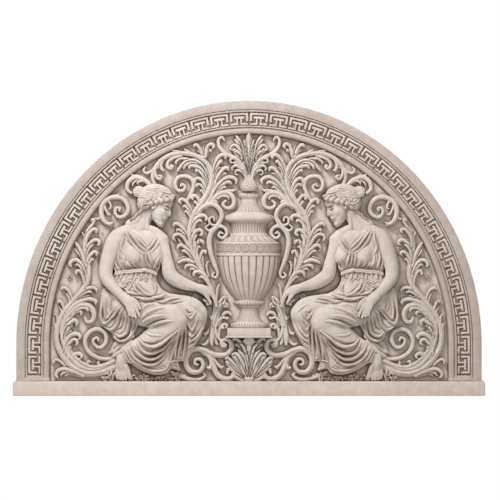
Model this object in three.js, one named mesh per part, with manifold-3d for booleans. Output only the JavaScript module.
// Tympanum panel: a carved stone relief under an arched Greek key border, on a plain ledge.
// Millimetres, +Z up. The front faces -Y and the back face lies in the wall plane, y = 0.
// x = 0 is the centre line and z = 0 is the springing line, where the arch meets its short
// upright sides. A manifold-3d union joins what is carved from one block.

import * as THREE from "three";
import { mergeVertices } from "three/addons/utils/BufferGeometryUtils.js";
import Module from "manifold-3d";

const wasm = await Module();
wasm.setup();

// Arch, slab and ledge
const HALF_SPAN = 930; // centre line to the outside of the upright sides
const ARCH_RISE = 976; // springing line to the crown
const STILT = 144; // height of the upright sides
const SLAB = 60; // thickness of the recessed ground
const LEDGE_HEIGHT = 56;
const LEDGE_PROUD = 92; // front of the ledge, ahead of the ground
const LEDGE_OVERHANG = 10; // past the arch, at each end
const LEDGE_ARRIS = 4;
const JOINT_GAP = 0.3;
const SLIVER = 1.5; // narrow faces that the union leaves, closed up where they are under this
const ARC_STEPS = 26;

// Border, from its outer edge inwards: fascia, fillet, key band, fillet, roll
const FASCIA_WIDTH = 34;
const FASCIA_PROUD = 34;
const QUIRK_WIDTH = 3; // narrow groove beside each fillet
const QUIRK_DROP = 9;
const FILLET_WIDTH = 6;
const FILLET_PROUD = 32;
const KEY_BAND_WIDTH = 56;
const KEY_FLOOR = 13;
const KEY_MARGIN = 4;
const KEY_PITCH = 80;
const KEY_LINE = 8;
const KEY_PROUD = 26;
const ROLL_WIDTH = 22;
const ROLL_PROUD = 30;
const FOOT_BLOCK = 12; // plain block that closes the border above the ledge
const FOOT_FILLET = 10;
const FOOT_INSET = 1; // how far the foot fillet stands back from the fillets above it
const BORDER_WIDTH = FASCIA_WIDTH + 3 * QUIRK_WIDTH + 2 * FILLET_WIDTH + KEY_BAND_WIDTH + ROLL_WIDTH;

// The carving is drawn on a grid: squares out from the centre line, and up from the ledge.
const GRID_OUT = 198;
const GRID_UP = 247;
const SQUARE_X = (HALF_SPAN - BORDER_WIDTH) / GRID_OUT;
const SQUARE_Z = (ARCH_RISE + STILT - BORDER_WIDTH) / GRID_UP;
const RELIEF = 90; // the highest carving, ahead of the ground
const DRAWN_RELIEF = 90; // the relief that the crest heights below are drawn for
const DEPTH = RELIEF / DRAWN_RELIEF;
const SINK = 4; // how far each carved form runs into what it grows from

// Stems and scrolls: path on the grid, then a coil of [centre out, up, reach, from, sweep in degrees],
// and the half width in squares at the root, the belly and the tip
const STEMS = {
  leftPlant: { path: [[133, 15], [151, 8], [170, 12], [187, 33], [192, 58], [178, 90], [161, 122],
    [156, 159]], girth: [5, 3.4, 1], crest: 26 },
  leftCurl: { path: [[187, 49], [183, 61]], coil: [160, 66, 16.5, 14, 300], girth: [2.2, 3.6, 1.6],
    crest: 27 },
  leftVolute: { path: [[132, 24], [141, 22]], coil: [150.5, 40, 16, -90, 540], girth: [1.8, 2.6, 1.3],
    crest: 30 },
  mainStem: { path: [[35, 63], [38, 94], [58, 138], [56, 164], [38, 194], [41, 217], [64, 229],
    [86, 221], [94, 196]], girth: [1.5, 3, 2], crest: 28 },
  shoulderScroll: { path: [[137, 156], [143, 160]], coil: [129.5, 172, 17.5, -10, 430],
    girth: [2.2, 2.9, 1.5], crest: 29 },
  napeScroll: { path: [[96, 194], [104, 201]], coil: [115, 195, 9.5, 95, -150], girth: [2.2, 3, 1.8],
    crest: 26 },
  headVolute: { path: [[62, 180], [57, 187]], coil: [67, 195.5, 12.4, 185, -400],
    girth: [1.8, 2.4, 1.3], crest: 28 },
  urnSideScroll: { path: [[43, 173], [36, 182]], coil: [22.5, 180, 9.7, 60, 250],
    girth: [1.8, 3, 1.5], crest: 29 },
  handle: { path: [[52, 167], [44, 175], [34, 176], [27.5, 166], [32, 154], [39, 143], [38, 128],
    [32, 112], [33, 102], [38, 106]], girth: [1.6, 2.8, 1.3], crest: 38 },
  palmetteCurl: { path: [[3, 203], [7, 214], [14, 223], [23, 227.5], [29, 234], [30, 242], [25, 244]],
    girth: [1.4, 2.4, 1.3], crest: 28 },
  lowerStem: { path: [[28, 77], [33.5, 54], [26, 38]], girth: [1.3, 2, 1.6], crest: 24 },
  bottomScroll: { path: [[26, 40.5], [20, 40.5], [17.5, 32], [25, 26], [37, 27], [46, 31.5]],
    coil: [52.5, 19, 13, 83, -400], girth: [1.4, 3.3, 1.3], crest: 36 },
  centreScroll: { path: [[46, 29], [39, 24], [35.5, 15]], coil: [22, 7.5, 9, -15, -250],
    girth: [2.2, 3.2, 1.4], crest: 32 },
};

const COIL_STEP = 76; // degrees between the stations of a coil
const COIL_CLOSED = 0.88; // share of the reach that a coil loses on its way in
const COIL_PACE = 1.15; // over 1, a coil closes faster at first
const BELLY_AT = 0.45; // where along a stem its belly lies
const STEM_CREST = [0.8, 1, 0.95]; // height at the root, the belly and the tip, as shares

// Leaves: root, middle and tip of the rib, and the half width, all in squares
const LEAVES = [
  [[161, 118], [167, 129], [172, 139], 3.2], [[163, 130], [157, 138], [149, 136], 2.6],
  [[162, 140], [156, 149.5], [149, 146], 2.4], [[163, 107], [170, 119.5], [179, 113], 3.2],
  [[177, 80], [180, 92], [187, 89], 2.8], [[178, 80], [165, 91], [150, 87], 3],
  [[189, 40], [182, 59], [171, 53.5], 3.2], [[187, 25], [179, 46.5], [166, 43], 4.2],
  [[179, 16], [173, 29.5], [163, 23], 3.4], [[167, 7], [181, 13.5], [190.5, 4], 3],
  [[108, 203], [113, 206], [118, 208.5], 1.6], [[69, 226.5], [81, 223.5], [78, 212.5], 2.4],
  [[55, 226], [64, 231.5], [70, 233], 1.5],
  [[40, 201], [50, 218.5], [71, 210], 3.6], [[44, 225], [47, 232.5], [54, 233.5], 2.2],
  [[44, 225], [41, 233.5], [34.5, 233], 2.2],
  [[56, 152], [59, 168], [69.5, 177.5], 2.8], [[62, 136], [63, 154], [74.5, 152.5], 3.2],
  [[53, 118], [61, 134], [70, 130], 3], [[44, 100], [55, 117], [70, 118.5], 3.2],
  [[36, 84], [41, 102], [55, 102.5], 3], [[57, 148], [51.5, 163], [42, 162], 2.8],
  [[52, 123], [50, 136.5], [43.5, 136.5], 2.6], [[35, 202], [33, 219], [22, 223.5], 3.6],
  [[36, 182], [27, 197], [12, 198.5], 3.2], [[34, 192], [30, 206], [21, 211], 2.8],
  [[1.5, 207], [5, 226], [12.5, 243], 2.8], [[2, 206], [8, 221], [17.5, 231.5], 2.4],
  [[3, 200], [8, 209.5], [16.5, 212], 2.4], [[36, 50], [38, 41], [44, 36], 2.4],
  [[32, 56], [28, 68], [18, 63], 2.3], [[5, 2], [9, 17], [16, 28], 3.2],
];
const LEAF_CREST = 15; // height of a leaf, and what each square of its half width adds
const LEAF_CREST_PER_WIDTH = 3;

// Points of a leaf: share along its rib, then half widths to the side it curls to, and ahead
const LEAF_HOOK = [1, 0.9, 0.7];
const LEAF_INNER = [[0.75, 1.8, 0.7], [0.6, 0.6, 0], [0.35, 1.6, 0.8], [0, 0.4, 0]];
const LEAF_OUTER = [[0, -0.4, 0], [0.6, -1.5, 0.5], [0.95, -0.8, 0.4]];
const LEAF_SPINE = [[0.1, 0, 0], [0.9, 0.05, 0]];
const SPINE_START = 0.8; // height where a spine starts, as a share of its crest

// Seated figure. Limbs: out, up, half width and crest at each station, far ones first
const LIMBS = {
  farShin: [[53, 65, 12, 70], [57, 42, 9, 58], [64, 15, 5, 32]],
  farThigh: [[88, 78, 11, 60], [54, 69, 13, 76]],
  nearShin: [[73, 59, 13, 84], [92, 38, 15, 76], [118, 21, 7, 52]],
  nearThigh: [[123, 75, 14, 62], [96, 69, 16, 80], [72, 62, 12.5, 90]],
  foot: [[128.5, 27, 6.4, 52], [124.5, 3, 7.4, 34]],
  neck: [[100, 168, 7, 46], [108, 150, 7.4, 44]],
  farArm: [[90, 142, 8.2, 52], [81, 109, 7.8, 60], [74, 100, 7.4, 62], [40, 87, 4.6, 56]],
  nearArm: [[132, 144, 8.8, 56], [143, 114, 8.4, 60], [141, 102, 7.8, 62], [115, 74, 5, 82]],
};

// Masses of the body and the dress: upright edge, crest, and the outline on the grid
const MASSES = {
  seatCloth: { edge: 24, crest: 44, outline: [[145, 93], [121, 84], [110, 60], [120, 42],
    [132, 43], [146, 58]] },
  clothEnd: { edge: 18, crest: 32, outline: [[134, 40], [121, 38], [130, 30], [139.5, 27]] },
  skirt: { edge: 30, crest: 60, outline: [[104, 64], [63, 65], [65, 31], [70, 12], [99, 8],
    [122, 24], [125, 35]] },
  lap: { edge: 34, crest: 64, outline: [[131, 110], [111, 113], [92, 110], [67, 81], [84, 69],
    [129, 67], [140, 86]] },
  chest: { edge: 34, crest: 60, outline: [[131, 151], [99, 152], [87, 145], [83, 134], [91, 109],
    [131, 108], [139, 136]] },
  nearBreast: { edge: 50, crest: 72, outline: [[115, 138], [106, 127], [115, 117], [124, 127]] },
  farBreast: { edge: 48, crest: 68, outline: [[92, 135], [85, 126], [93, 116], [101, 126]] },
  head: { edge: 34, crest: 62, outline: [[107, 183], [99, 195.5], [86, 196], [76, 186],
    [75.5, 167.5], [81.5, 158], [89, 155.5], [98, 161]] },
  bun: { edge: 34, crest: 50, outline: [[107, 194], [105, 184], [115, 183], [116, 192]] },
};

const MASS_INSET = 0.42; // how far the flat crest of a mass lies in from its outline

// Folds of the dress, belt, cloth and hair: out, up, half width and crest
const FOLDS = {
  neckNear: [[120, 148, 1.4, 62], [101.5, 131, 1.4, 70]],
  neckFar: [[92, 143, 1.4, 60], [101, 130, 1.4, 70]],
  belt: [[132, 109, 1.8, 62], [112, 112, 2, 70], [92, 108.5, 1.8, 64]],
  peplum: [[134, 99, 1.8, 62], [111, 102.5, 2, 74], [89, 99.5, 1.8, 68]],
  lapRoll: [[113, 90, 1.6, 74], [95, 83, 2.2, 84], [67, 86, 1.6, 74]],
  thigh: [[109, 60, 1.6, 82], [98, 71, 2, 90], [84, 77, 1.6, 86]],
  swagUpper: [[109, 44, 1.6, 74], [95, 35, 2.2, 86], [73, 49, 1.6, 86]],
  swagLower: [[117, 35, 1.6, 62], [98, 22, 2.2, 78], [76, 36, 1.6, 80]],
  fallFront: [[68.5, 50, 1.8, 86], [77.5, 18, 2, 62]],
  fallBack: [[62, 56, 1.6, 76], [67, 16, 1.8, 56]],
  shin: [[45, 54, 1.6, 62], [61, 34, 1.8, 64]],
  seatFront: [[123, 79, 1.8, 56], [140, 57, 1.8, 44]],
  hairline: [[102, 176, 2, 64], [91, 186, 2.2, 68], [78, 187, 1.8, 62]],
};
const FOLD_DROP = 34; // how deep a fold is rooted, below its crest

// Urn, in squares: half width at each height above its foot, and 1 where the turning is fluted
const URN_DEPTH = 0.56; // its relief as a share of a full round
const URN_FOOT = 45;
const FLUTES = 16;
const FLUTE_HOLLOW = 0.9; // radius of a flute's hollow, as a share of its ridge
const URN_RINGS = [[0, 1, 0], [18.7, 1, 0], [18.7, 9, 0], [17, 10, 1], [10.5, 18, 1], [10, 27, 1],
  [15.2, 30, 0], [15.2, 35.5, 0], [15, 37, 1], [22.5, 46, 1], [29, 59, 1], [31.5, 78, 1],
  [31.5, 83, 0], [29, 92, 0], [19.5, 103, 1], [22, 115, 1], [25.5, 116.5, 0], [25.5, 122, 0],
  [8, 134, 0], [10.7, 136, 0], [10.7, 143, 0], [7, 146, 0], [0, 160, 0]];
const PLINTH_HALF = 21.5;
const PLINTH_LIP = 1.5;
const PLINTH_CREST = 62;
const PLINTH_HEIGHT = 8;
const PLINTH_LIP_HEIGHT = 1.7;
const STUDS = 5; // lozenges round the shoulder of the urn
const STUD_SIZE = 3.4;
const STUD_UP = 85;
const STUD_SPACING = 9.5;
const STUD_RING = 30; // radius of the ring that the studs are spaced round
const SHOULDER = 31; // radius of the urn where they stand

// Palmette above the urn, and the leaf that stands on the ledge under it
const PALMETTES = [
  { foot: 205, tip: 248, half: 5.5, crest: 34 },
  { foot: 1, tip: 44, half: 9, crest: 42 },
];
// Share of the half width and of the height at each point of its side
const PALMETTE_SIDE = [[0.3, 0], [0.35, 0.1], [0.75, 0.28], [0.5, 0.38], [1, 0.55], [0.55, 0.62],
  [0.9, 0.8], [0.4, 0.82]];
const PALMETTE_SPINE = [0.12, 0.45, 0.8];

const STONE = { color: 0xc9b7a9, roughness: 0.92, metalness: 0 };

// A point of the panel from grid squares and a height ahead of the ground
function carved(out, up, height) {
  return new THREE.Vector3(-out * SQUARE_X, -SLAB - height, up * SQUARE_Z - STILT);
}

// A closed mesh from points and faces wound one way round, turned to face outwards
function closed(points, faces) {
  const volume = faces.reduce((sum, [a, b, c]) => {
    const cross = new THREE.Vector3().crossVectors(points[b], points[c]);
    return sum + points[a].dot(cross);
  }, 0);
  const geometry = new THREE.BufferGeometry();
  geometry.setAttribute(
    "position",
    new THREE.Float32BufferAttribute(points.flatMap((p) => p.toArray()), 3),
  );
  geometry.setIndex(faces.flatMap(([a, b, c]) => (volume < 0 ? [a, c, b] : [a, b, c])));
  return geometry;
}

// Index of the same faces, turned over
function turnedOver(geometry) {
  const index = Array.from(geometry.index.array);
  for (let i = 0; i < index.length; i += 3) {
    [index[i + 1], index[i + 2]] = [index[i + 2], index[i + 1]];
  }
  return index;
}

// The same form on the other side of the centre line
function mirrored(geometry) {
  return geometry.clone().scale(-1, 1, 1).setIndex(turnedOver(geometry));
}

// Triangles of a flat outline, wound the same way as the outline
function triangulated(flat) {
  const way = Math.sign(THREE.ShapeUtils.area(flat));
  return THREE.ShapeUtils.triangulateShape(flat, []).map(([a, b, c]) => {
    const turn = Math.sign(THREE.ShapeUtils.area([flat[a], flat[b], flat[c]]));
    return turn === way ? [a, b, c] : [a, c, b];
  });
}

// A solid through a row of rings of equal count, closed by flat ends
function lofted(rings, flat) {
  const count = rings[0].length;
  const last = (rings.length - 1) * count;
  const faces = [];
  for (let i = 0; i + 1 < rings.length; i++) {
    for (let j = 0; j < count; j++) {
      const [a, b] = [i * count + j, i * count + ((j + 1) % count)];
      faces.push([a, b, b + count], [a, b + count, a + count]);
    }
  }
  for (const [a, b, c] of triangulated(flat)) {
    faces.push([a, c, b], [last + a, last + b, last + c]);
  }
  return closed(rings.flat(), faces);
}

// Unit direction across a path at one of its stations
function across(path, i) {
  const before = path[Math.max(0, i - 1)];
  const after = path[Math.min(path.length - 1, i + 1)];
  const along = new THREE.Vector2(after[0] - before[0], after[1] - before[1]).normalize();
  return new THREE.Vector2(-along.y, along.x);
}

// A run of equal sections along stations of [out, up, half width, crest]; the section lists
// [share of the half width, height from foot to crest] and starts and ends on the foot
function run(stations, section, footOf) {
  const rings = stations.map(([out, up, half, crest], i) => {
    const side = across(stations, i);
    const foot = footOf(crest);
    return section.map(([share, rise]) =>
      carved(
        out + side.x * half * share,
        up + side.y * half * share,
        (foot + (crest - foot) * rise) * DEPTH,
      ),
    );
  });
  return lofted(rings, section.map(([share, rise]) => new THREE.Vector2(share, rise)));
}

const ROOF = [[-1, 0], [0, 1], [1, 0]];
const ROUND = [[-1, 0], [-0.6, 1], [0.6, 1], [1, 0]];
const onGround = () => -SINK;

// Value at share t of three values, at the root, the belly and the tip
function along([root, belly, tip], t) {
  return t < BELLY_AT
    ? THREE.MathUtils.lerp(root, belly, t / BELLY_AT)
    : THREE.MathUtils.lerp(belly, tip, (t - BELLY_AT) / (1 - BELLY_AT));
}

// Stations of a stem, with its coil worked out as a spiral that closes on its centre
function stemStations({ path, coil, girth, crest }) {
  const points = [...path];
  if (coil) {
    const [out, up, reach, from, sweep] = coil;
    const steps = Math.ceil(Math.abs(sweep) / COIL_STEP);
    for (let i = 0; i <= steps; i++) {
      const share = i / steps;
      const angle = THREE.MathUtils.degToRad(from + sweep * share);
      const radius = reach * Math.pow(1 - COIL_CLOSED * share, COIL_PACE);
      points.push([out + radius * Math.cos(angle), up + radius * Math.sin(angle)]);
    }
  }
  return points.map(([out, up], i) => {
    const share = i / (points.length - 1);
    return [out, up, along(girth, share), crest * along(STEM_CREST, share)];
  });
}

// A leaf with lobes on both sides of a raised rib, its tip bent over the side that it curls to
function leaf([root, middle, tip, half]) {
  const [a, b, c] = [root, middle, tip].map(([out, up]) => new THREE.Vector2(out, up));
  const bend = b.clone().multiplyScalar(2).sub(a.clone().add(c).multiplyScalar(0.5));
  const rib = new THREE.QuadraticBezierCurve(a, bend, c);
  const turn = Math.sign(bend.clone().sub(a).cross(c.clone().sub(bend))) || 1;
  const crest = (LEAF_CREST + LEAF_CREST_PER_WIDTH * half) * DEPTH;
  const at = ([share, width, ahead]) => {
    const way = rib.getTangent(share);
    return rib
      .getPoint(share)
      .add(new THREE.Vector2(-way.y, way.x).multiplyScalar(width * turn * half))
      .add(way.clone().multiplyScalar(ahead * half));
  };
  return ridged([LEAF_HOOK, ...LEAF_INNER].map(at), LEAF_OUTER.map(at), LEAF_SPINE.map(at), crest);
}

// A roof over an outline: one side of it, then the other, about a spine that runs to its first point.
// The underside has the same faces, flat and turned over.
function ridged(sideA, sideB, spine, crest) {
  const outline = [...sideA, ...sideB];
  const count = outline.length;
  const low = [...outline, ...spine].map((p) => carved(p.x, p.y, -SINK));
  const top = spine.map((p, i) => carved(p.x, p.y, crest * (i ? 1 : SPINE_START)));
  const nearest = [spine.length - 1];
  for (let i = 1; i < count; i++) {
    const gaps = spine.map((q) => q.distanceTo(outline[i]));
    const closest = gaps.indexOf(Math.min(...gaps));
    const goingDown = i < sideA.length;
    nearest[i] = goingDown ? Math.min(nearest[i - 1], closest) : Math.max(nearest[i - 1], closest);
  }
  const roof = [];
  for (let i = 0; i < count; i++) {
    const j = (i + 1) % count;
    roof.push([i, j, count + nearest[i]]);
    const step = Math.sign(nearest[j] - nearest[i]);
    for (let k = nearest[i]; k !== nearest[j]; k += step) {
      roof.push([j, count + k + step, count + k]);
    }
  }
  const raised = (k) => (k < count ? k : k + spine.length);
  return closed(
    [...low, ...top],
    [...roof.map((face) => face.map(raised)), ...roof.map(([a, b, c]) => [a, c, b])],
  );
}

// An upright-edged mass that rises to a flat crest inside its outline
function mass({ edge, crest, outline }) {
  const flat = outline.map(([out, up]) => new THREE.Vector2(out, up));
  const middle = flat.reduce((sum, p) => sum.add(p), new THREE.Vector2()).divideScalar(flat.length);
  const inset = flat.map((p) => p.clone().lerp(middle, MASS_INSET));
  const ring = (points, height) => points.map((p) => carved(p.x, p.y, height * DEPTH));
  return lofted([ring(flat, -SINK), ring(flat, edge), ring(inset, crest)], flat);
}

// Stations along the outer edge of the border, foot to foot, with the way inwards at each
function borderStations(steps) {
  const stations = [{ x: -HALF_SPAN, z: -STILT, inX: 1, inZ: 0 }];
  for (let i = 0; i <= steps; i++) {
    const angle = Math.PI * (1 - i / steps);
    const inward = new THREE.Vector2(-Math.cos(angle) / HALF_SPAN, -Math.sin(angle) / ARCH_RISE);
    inward.normalize();
    stations.push({
      x: HALF_SPAN * Math.cos(angle),
      z: ARCH_RISE * Math.sin(angle),
      inX: inward.x,
      inZ: inward.y,
    });
  }
  stations.push({ x: HALF_SPAN, z: -STILT, inX: -1, inZ: 0 });
  return stations;
}

const inside = ({ x, z, inX, inZ }, depth, height) =>
  new THREE.Vector3(x + inX * depth, -SLAB - height, z + inZ * depth);

// Section of the border: [depth in from the outer edge, height ahead of the ground]
function borderSection() {
  const section = [[0, -SLAB], [0, FASCIA_PROUD]];
  let depth = 0;
  const go = (width, height) => {
    depth += width;
    section.push([depth, height]);
  };
  go(FASCIA_WIDTH, FASCIA_PROUD);
  go(QUIRK_WIDTH, FILLET_PROUD - QUIRK_DROP);
  go(FILLET_WIDTH / 3, FILLET_PROUD);
  go((2 * FILLET_WIDTH) / 3, FILLET_PROUD);
  section.push([depth, KEY_FLOOR]);
  go(KEY_BAND_WIDTH, KEY_FLOOR);
  section.push([depth, FILLET_PROUD]);
  go(FILLET_WIDTH, FILLET_PROUD);
  go(QUIRK_WIDTH, FILLET_PROUD - QUIRK_DROP);
  go(ROLL_WIDTH / 2, ROLL_PROUD);
  go(ROLL_WIDTH / 2 + QUIRK_WIDTH, ROLL_PROUD / 2);
  section.push([depth, -SLAB]);
  return section;
}

function border() {
  const section = borderSection();
  const rings = borderStations(ARC_STEPS).map((station) =>
    section.map(([depth, height]) => inside(station, depth, height)),
  );
  return lofted(rings, section.map(([depth, height]) => new THREE.Vector2(depth, height)));
}

// The recessed ground, let into the border
function ground() {
  const edge = borderStations(ARC_STEPS).map((station) => inside(station, BORDER_WIDTH - ROLL_WIDTH, 0));
  const shape = new THREE.Shape(edge.map((p) => new THREE.Vector2(p.x, p.z)));
  return new THREE.ExtrudeGeometry(shape, { depth: SLAB, bevelEnabled: false }).rotateX(Math.PI / 2);
}

// A line that follows the key band at its middle, measured by length
function keyLine() {
  const middle = FASCIA_WIDTH + QUIRK_WIDTH + FILLET_WIDTH + KEY_BAND_WIDTH / 2;
  const stations = borderStations(ARC_STEPS);
  const points = stations.map((station) => inside(station, middle, 0));
  const lengths = [0];
  for (let i = 1; i < points.length; i++) {
    lengths.push(lengths[i - 1] + points[i].distanceTo(points[i - 1]));
  }
  const at = (length, fromMiddle, height) => {
    let i = lengths.findIndex((reached) => reached > length) - 1;
    if (i < 0) i = lengths.length - 2;
    const share = (length - lengths[i]) / (lengths[i + 1] - lengths[i]);
    const [a, b] = [i, i + 1].map((k) => inside(stations[k], middle + fromMiddle, height));
    return a.lerp(b, share);
  };
  return { length: lengths[lengths.length - 1], at };
}

// A flat-topped fret of the key band from an outline of [along, across] about its middle
function fret(line, start, outline) {
  const flat = outline.map(([u, v]) => new THREE.Vector2(u, v));
  const ring = (height) => outline.map(([u, v]) => line.at(start + u, v, height));
  return lofted([ring(KEY_FLOOR - SINK), ring(KEY_PROUD)], flat);
}

// The key: each unit is an arched fret over a short bar
function keyPattern() {
  const line = keyLine();
  const first = FOOT_BLOCK + FOOT_FILLET + KEY_MARGIN;
  const room = line.length - 2 * first;
  const units = Math.round(room / KEY_PITCH);
  const pitch = room / units;
  const half = KEY_BAND_WIDTH / 2 - KEY_MARGIN;
  const [left, right] = [KEY_LINE / 2, pitch - KEY_LINE / 2];
  const legEnd = half - KEY_LINE / 2;
  const arch = [[left, -half], [right, -half], [right, legEnd], [right - KEY_LINE, legEnd],
    [right - KEY_LINE, KEY_LINE - half], [left + KEY_LINE, KEY_LINE - half],
    [left + KEY_LINE, legEnd], [left, legEnd]];
  const barEnd = left + 2 * KEY_LINE;
  const barTop = 2 * KEY_LINE - KEY_BAND_WIDTH / 2;
  const bar = [[barEnd, barTop], [pitch - barEnd, barTop], [pitch - barEnd, half], [barEnd, half]];
  return Array.from({ length: units }, (_, i) => first + i * pitch).flatMap((start) => [
    fret(line, start, arch),
    fret(line, start, bar),
  ]);
}

// A box from its corners, given as [out, up, height ahead of the ground] in millimetres
function block([x0, z0, h0], [x1, z1, h1]) {
  return new THREE.BoxGeometry(Math.abs(x1 - x0), h1 - h0, z1 - z0).translate(
    (x0 + x1) / 2,
    -SLAB - (h0 + h1) / 2,
    (z0 + z1) / 2,
  );
}

// Plain blocks that close the foot of the border above the ledge
function borderFeet() {
  const foot = -STILT;
  const key = FASCIA_WIDTH + QUIRK_WIDTH;
  const keyEnd = key + 2 * FILLET_WIDTH + KEY_BAND_WIDTH;
  const inner = BORDER_WIDTH - HALF_SPAN;
  return [
    block([FASCIA_WIDTH - SINK - HALF_SPAN, foot, -SINK], [inner, foot + FOOT_BLOCK, FASCIA_PROUD]),
    block(
      [key + FOOT_INSET - HALF_SPAN, foot + FOOT_BLOCK - SINK, -SINK],
      [keyEnd - FOOT_INSET - HALF_SPAN, foot + FOOT_BLOCK + FOOT_FILLET, FILLET_PROUD - FOOT_INSET],
    ),
  ];
}

// The urn: a turned profile with its flutes hollowed, flattened to a relief
function urn() {
  const points = URN_RINGS.map(([radius, up]) => new THREE.Vector2(radius, up));
  const geometry = new THREE.LatheGeometry(points, 2 * FLUTES);
  const position = geometry.attributes.position;
  for (let i = 0; i < position.count; i++) {
    const hollowed = URN_RINGS[i % points.length][2] && Math.floor(i / points.length) % 2;
    const share = hollowed ? FLUTE_HOLLOW : 1;
    const [x, up, z] = [position.getX(i) * share, position.getY(i), position.getZ(i) * share];
    const p = carved(x, up + URN_FOOT, 0);
    position.setXYZ(i, p.x, -SLAB - z * SQUARE_X * URN_DEPTH * DEPTH, p.z);
  }
  return geometry.setIndex(turnedOver(geometry));
}

// Lozenges round the shoulder of the urn, each a low pyramid on a block let into it
function urnStuds() {
  return Array.from({ length: STUDS }, (_, i) => {
    const round = ((i - (STUDS - 1) / 2) * STUD_SPACING) / STUD_RING;
    const rim = STUD_RING * Math.sin(round);
    const height = Math.sqrt(SHOULDER ** 2 - rim ** 2) * SQUARE_X * URN_DEPTH * DEPTH;
    const face = [[1, 0], [0, 1], [-1, 0], [0, -1]].map(([u, v]) =>
      carved(rim + u * STUD_SIZE, STUD_UP + URN_FOOT + v * STUD_SIZE, height - SINK),
    );
    const back = face.map((p) => p.clone().add(new THREE.Vector3(0, 4 * SINK, 0)));
    const peak = carved(rim, STUD_UP + URN_FOOT, height + SINK);
    const sides = [0, 1, 2, 3].flatMap((j) => {
      const k = (j + 1) % 4;
      return [[j, k, 8], [j + 4, k + 4, k], [j + 4, k, j]];
    });
    return closed([...face, ...back, peak], [...sides, [4, 6, 5], [4, 7, 6]]);
  });
}

function urnPlinth() {
  const half = PLINTH_HALF * SQUARE_X;
  const lip = PLINTH_LIP * SQUARE_X;
  const at = (up) => up * SQUARE_Z - STILT;
  const crest = PLINTH_CREST * DEPTH;
  return [
    block([-half - lip, at(URN_FOOT - PLINTH_LIP_HEIGHT), -SINK], [half + lip, at(URN_FOOT), crest + lip]),
    block([-half, at(URN_FOOT) - SINK, -SINK], [half, at(URN_FOOT + PLINTH_HEIGHT), crest]),
  ];
}

// An upright leaf on the centre line, with three lobes a side, from its foot up to its tip
function palmette({ foot, tip, half, crest }) {
  const at = (width, share) => new THREE.Vector2(width * half, foot + share * (tip - foot));
  const [near, far] = [-1, 1].map((way) => PALMETTE_SIDE.map(([width, share]) => at(way * width, share)));
  const spine = PALMETTE_SPINE.map((share) => at(0, share));
  return ridged([at(0, 1), ...near.reverse()], far, spine, crest * DEPTH);
}

function halfCarving() {
  return [
    ...Object.values(STEMS).map((stem) => run(stemStations(stem), ROOF, onGround)),
    ...LEAVES.map(leaf),
    ...Object.values(MASSES).map(mass),
    ...Object.values(LIMBS).map((limb) => run(limb, ROUND, onGround)),
    ...Object.values(FOLDS).map((fold) => run(fold, ROOF, (crest) => crest - FOLD_DROP)),
  ];
}

function solid(geometry) {
  const bare = geometry.clone();
  bare.deleteAttribute("normal");
  bare.deleteAttribute("uv");
  const merged = mergeVertices(bare, 1e-3);
  return new wasm.Manifold(
    new wasm.Mesh({
      numProp: 3,
      vertProperties: merged.attributes.position.array,
      triVerts: new Uint32Array(merged.index.array),
    }),
  );
}

// Union of a list of solids, halves first so that no step grows too large
function joined(solids) {
  if (solids.length === 1) return solids[0];
  const middle = solids.length >> 1;
  return joined(solids.slice(0, middle)).add(joined(solids.slice(middle)));
}

function meshOf(name, manifold, look) {
  const { vertProperties, triVerts } = manifold.getMesh();
  const geometry = new THREE.BufferGeometry();
  geometry.setAttribute("position", new THREE.BufferAttribute(vertProperties, 3));
  geometry.setIndex(new THREE.BufferAttribute(triVerts, 1));
  geometry.computeVertexNormals();
  const mesh = new THREE.Mesh(geometry, new THREE.MeshStandardMaterial(look));
  mesh.name = name;
  return mesh;
}

function panel() {
  const side = halfCarving();
  const feet = borderFeet().map((geometry) => mergeVertices(geometry));
  const room = 2 * HALF_SPAN; // more than any part of the panel reaches
  const behind = block([-room, -room, -SLAB - room], [room, room, -SINK]);
  const centre = joined([urn(), ...urnStuds()].map(solid)).subtract(solid(behind));
  const rest = [
    border(), ground(), ...feet, ...feet.map(mirrored), ...keyPattern(),
    ...urnPlinth(), ...PALMETTES.map(palmette), ...side, ...side.map(mirrored),
  ];
  const below = block([-room, -STILT - room, -SLAB - room], [room, -STILT, room]);
  return joined([...rest.map(solid), centre]).subtract(solid(below)).simplify(SLIVER);
}

function ledge() {
  const half = HALF_SPAN + LEDGE_OVERHANG;
  const front = -SLAB - LEDGE_PROUD;
  const top = -STILT - JOINT_GAP;
  const foot = top - LEDGE_HEIGHT;
  const end = new THREE.Shape([
    new THREE.Vector2(0, foot),
    new THREE.Vector2(0, top),
    new THREE.Vector2(front + LEDGE_ARRIS, top),
    new THREE.Vector2(front, top - LEDGE_ARRIS),
    new THREE.Vector2(front, foot + LEDGE_ARRIS),
    new THREE.Vector2(front + LEDGE_ARRIS, foot),
  ]);
  const geometry = new THREE.ExtrudeGeometry(end, { depth: 2 * half, bevelEnabled: false });
  geometry.rotateX(Math.PI / 2).rotateZ(Math.PI / 2).translate(-half, 0, 0);
  return geometry;
}

const tympanum = new THREE.Group();
tympanum.add(meshOf("tympanum_panel", panel(), STONE));
tympanum.add(meshOf("sill_ledge", solid(ledge()), STONE));

export default tympanum;
